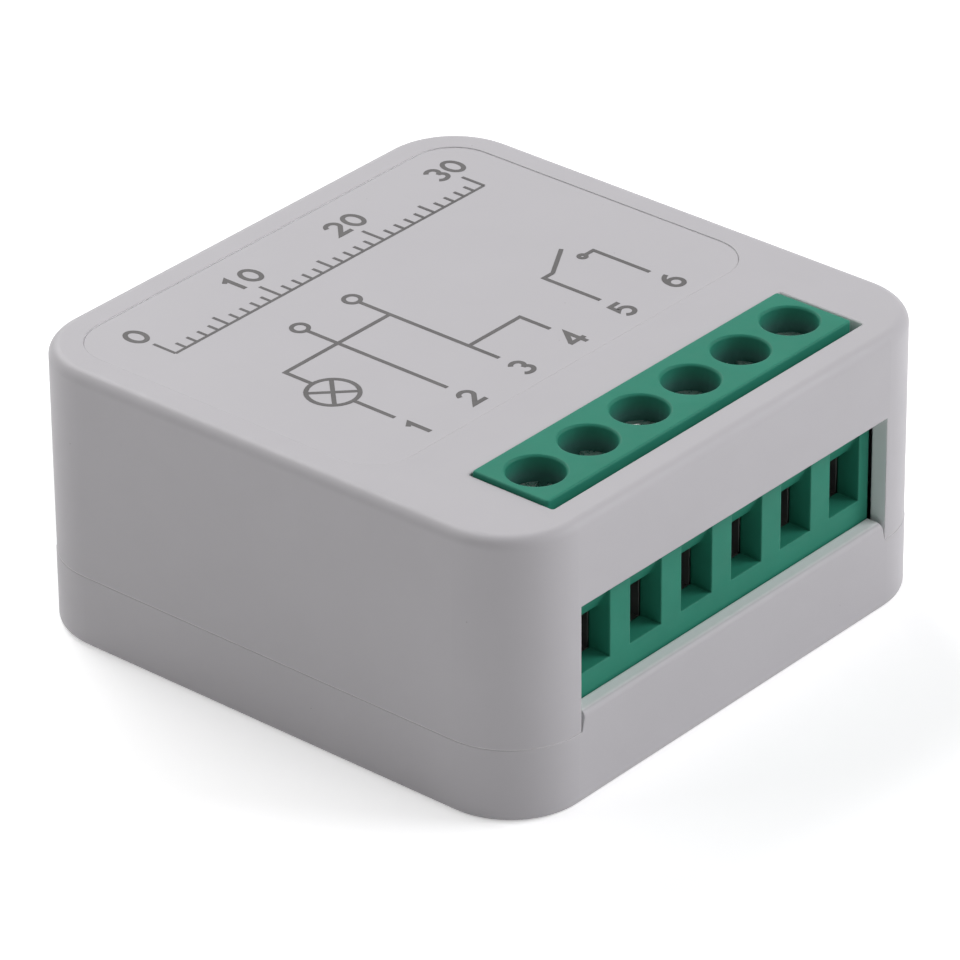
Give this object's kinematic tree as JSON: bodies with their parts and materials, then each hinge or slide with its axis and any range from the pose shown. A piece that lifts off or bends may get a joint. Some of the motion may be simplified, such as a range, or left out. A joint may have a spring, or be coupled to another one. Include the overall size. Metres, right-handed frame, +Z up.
{
  "type": "smart relay module",
  "caption": "Square flat radio-controlled relay module with a raised screw terminal block along one edge, rising wire clamps and a rear pairing button.",
  "frame": {"origin": "middle of the underside", "axes": "+X along the row of terminals, -Y towards the wires, +Z up through the roof"},
  "size_m": [0.042, 0.042, 0.0203],
  "materials": {
    "case_plastic": "fine matt",
    "label": "satin film",
    "button_plastic": "fine matt",
    "terminal_green": "satin",
    "plated_steel": "zinc plated",
    "tinned_brass": "tinned",
    "board_laminate": "solder mask",
    "black_plastic": "matt",
    "relay_cover_plastic": "smooth",
    "bobbin_plastic": "natural",
    "copper_wire": "enamelled copper",
    "soft_iron": "plated",
    "spring_bronze": "rolled",
    "contact_silver": "polished",
    "can_sleeve": "shrink sleeve",
    "ferrite": "sintered",
    "blue_epoxy": "dipped",
    "resistor_coat": "lacquer",
    "lamp_resin": "clear",
    "ceramic": "fired"
  },
  "bodies": {
    "case": {"top_shell": "case_plastic", "base_cover": "case_plastic", "label_film": "label", "main_board": "board_laminate", "terminal_housing": "terminal_green", "contact_bars": "tinned_brass", "tact_switch_body": "black_plastic", "radio_board": "board_laminate", "radio_shield": "plated_steel", "radio_chip": "black_plastic", "radio_header_strips": "black_plastic", "radio_header_pins": "tinned_brass", "bulk_capacitor": "can_sleeve", "output_capacitor": "can_sleeve", "inductor_core": "ferrite", "inductor_winding": "copper_wire", "varistor": "blue_epoxy", "fuse_resistor": "resistor_coat", "rectifier": "black_plastic", "converter_chip": "black_plastic", "voltage_regulator": "black_plastic", "relay_transistor": "black_plastic", "diodes": "black_plastic", "chip_resistors": "ferrite", "chip_capacitors": "ceramic", "status_lamp": "lamp_resin", "relay_base": "black_plastic", "relay_cover": "relay_cover_plastic", "relay_yoke": "soft_iron", "relay_core": "soft_iron", "relay_bobbin": "bobbin_plastic", "relay_coil": "copper_wire", "relay_fixed_contact": "contact_silver", "relay_fixed_terminal": "tinned_brass", "relay_coil_pins": "tinned_brass"},
    "relay_armature": {"relay_armature": "soft_iron", "relay_contact_spring": "spring_bronze", "relay_moving_contact": "contact_silver"},
    "pairing_button": {"pairing_button": "button_plastic"},
    "tact_switch_plunger": {"tact_switch_plunger": "black_plastic"},
    "terminal_screw_1": {"terminal_screw_1": "plated_steel"},
    "clamp_cage_1": {"clamp_cage_1": "plated_steel"},
    "terminal_screw_2": {"terminal_screw_2": "plated_steel"},
    "clamp_cage_2": {"clamp_cage_2": "plated_steel"},
    "terminal_screw_3": {"terminal_screw_3": "plated_steel"},
    "clamp_cage_3": {"clamp_cage_3": "plated_steel"},
    "terminal_screw_4": {"terminal_screw_4": "plated_steel"},
    "clamp_cage_4": {"clamp_cage_4": "plated_steel"},
    "terminal_screw_5": {"terminal_screw_5": "plated_steel"},
    "clamp_cage_5": {"clamp_cage_5": "plated_steel"},
    "terminal_screw_6": {"terminal_screw_6": "plated_steel"},
    "clamp_cage_6": {"clamp_cage_6": "plated_steel"}
  },
  "joints": [
    {"name": "screw_turn_1", "type": "hinge", "parent": "case", "child": "terminal_screw_1", "pos_m": [-0.0125, -0.0151, 0.0186], "axis": [0, 0, -1], "range_deg": [0, 2160]},
    {"name": "cage_lift_1", "type": "slide", "parent": "case", "child": "clamp_cage_1", "axis": [0, 0, 1], "range_m": [0, 0.003]},
    {"name": "screw_turn_2", "type": "hinge", "parent": "case", "child": "terminal_screw_2", "pos_m": [-0.0075, -0.0151, 0.0186], "axis": [0, 0, -1], "range_deg": [0, 2160]},
    {"name": "cage_lift_2", "type": "slide", "parent": "case", "child": "clamp_cage_2", "axis": [0, 0, 1], "range_m": [0, 0.003]},
    {"name": "screw_turn_3", "type": "hinge", "parent": "case", "child": "terminal_screw_3", "pos_m": [-0.0025, -0.0151, 0.0186], "axis": [0, 0, -1], "range_deg": [0, 2160]},
    {"name": "cage_lift_3", "type": "slide", "parent": "case", "child": "clamp_cage_3", "axis": [0, 0, 1], "range_m": [0, 0.003]},
    {"name": "screw_turn_4", "type": "hinge", "parent": "case", "child": "terminal_screw_4", "pos_m": [0.0025, -0.0151, 0.0186], "axis": [0, 0, -1], "range_deg": [0, 2160]},
    {"name": "cage_lift_4", "type": "slide", "parent": "case", "child": "clamp_cage_4", "axis": [0, 0, 1], "range_m": [0, 0.003]},
    {"name": "screw_turn_5", "type": "hinge", "parent": "case", "child": "terminal_screw_5", "pos_m": [0.0075, -0.0151, 0.0186], "axis": [0, 0, -1], "range_deg": [0, 2160]},
    {"name": "cage_lift_5", "type": "slide", "parent": "case", "child": "clamp_cage_5", "axis": [0, 0, 1], "range_m": [0, 0.003]},
    {"name": "screw_turn_6", "type": "hinge", "parent": "case", "child": "terminal_screw_6", "pos_m": [0.0125, -0.0151, 0.0186], "axis": [0, 0, -1], "range_deg": [0, 2160]},
    {"name": "cage_lift_6", "type": "slide", "parent": "case", "child": "clamp_cage_6", "axis": [0, 0, 1], "range_m": [0, 0.003]},
    {"name": "armature_pull", "type": "hinge", "parent": "case", "child": "relay_armature", "pos_m": [-0.01061, 0.00965, 0.01485], "axis": [1, 0, 0], "range_deg": [0, 3.5], "stiffness_Nm_per_rad": 0.002, "springref_deg": -11.46},
    {"name": "button_press", "type": "slide", "parent": "case", "child": "pairing_button", "axis": [0, -1, 0], "range_m": [0, 0.00025], "stiffness_N_per_m": 800, "springref_m": -0.0015},
    {"name": "plunger_press", "type": "slide", "parent": "case", "child": "tact_switch_plunger", "axis": [0, -1, 0], "range_m": [0, 0.00025]}
  ],
  "couplings": [
    {"joint": "screw_turn_1", "follows": "cage_lift_1", "rad_per_m": 12566},
    {"joint": "screw_turn_2", "follows": "cage_lift_2", "rad_per_m": 12566},
    {"joint": "screw_turn_3", "follows": "cage_lift_3", "rad_per_m": 12566},
    {"joint": "screw_turn_4", "follows": "cage_lift_4", "rad_per_m": 12566},
    {"joint": "screw_turn_5", "follows": "cage_lift_5", "rad_per_m": 12566},
    {"joint": "screw_turn_6", "follows": "cage_lift_6", "rad_per_m": 12566},
    {"joint": "plunger_press", "follows": "button_press", "ratio": 1}
  ]
}
